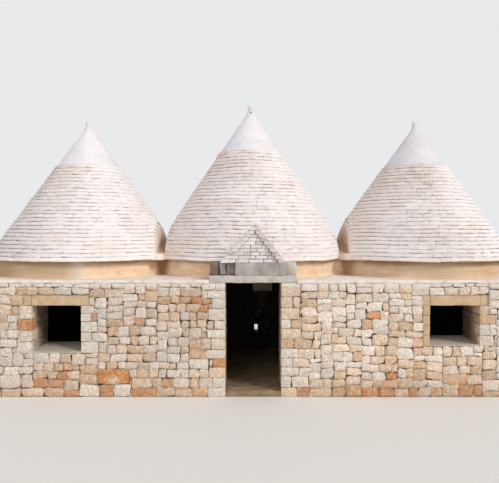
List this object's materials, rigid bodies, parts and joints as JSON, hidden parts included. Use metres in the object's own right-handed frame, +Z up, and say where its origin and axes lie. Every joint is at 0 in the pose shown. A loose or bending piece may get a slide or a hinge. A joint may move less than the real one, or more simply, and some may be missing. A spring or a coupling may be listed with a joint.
{
  "type": "trullo house",
  "caption": "Trullo house with dry-laid stone cones on a rubble-walled range, a gabled doorway and a window under each side cone.",
  "frame": {"origin": "On the ground, under the middle cone's axis and the middle of the plan", "axes": "+X to the right along the house, +Y into the house from the door side, +Z up"},
  "size_m": [11.5498, 4.5298, 5.58],
  "materials": {
    "rubble": "rough",
    "corbelled_stone": "rough",
    "paving": "rough",
    "limestone": "rough",
    "roof_stone": "rough",
    "tufa": "rough",
    "mortar": "rough",
    "lime_plaster": "matte"
  },
  "bodies": {
    "root": {"front_wall_left": "rubble", "front_wall_right": "rubble", "side_wall_left": "rubble", "side_wall_right": "rubble", "rear_wall": "rubble", "cross_wall_left": "corbelled_stone", "cross_wall_right": "corbelled_stone", "floor": "paving", "door_threshold": "limestone", "door_lintel": "limestone", "door_lintel_inner": "limestone", "lintel_block": "limestone", "lintel_shoulder_left": "limestone", "lintel_shoulder_right": "mortar", "gable_wall": "roof_stone", "gable_slope_left": "roof_stone", "gable_slope_right": "roof_stone", "window_lintel_left": "tufa", "window_lintel_right": "tufa", "window_lintel_inner_left": "tufa", "window_lintel_inner_right": "tufa", "window_sill_left": "mortar", "window_sill_right": "mortar", "window_jamb_right": "tufa", "niche_lintel": "tufa", "terrace_left": "mortar", "terrace_centre": "mortar", "terrace_right": "mortar", "squinches_left": "corbelled_stone", "squinches_centre": "corbelled_stone", "squinches_right": "corbelled_stone", "drum_left": "tufa", "drum_centre": "tufa", "drum_right": "tufa", "dome_left": "corbelled_stone", "dome_centre": "corbelled_stone", "dome_right": "corbelled_stone", "cone_left": "roof_stone", "cone_centre": "roof_stone", "cone_right": "roof_stone", "tip_left": "lime_plaster", "tip_centre": "lime_plaster", "tip_right": "lime_plaster", "valley_left": "mortar", "valley_right": "mortar"}
  },
  "joints": []
}
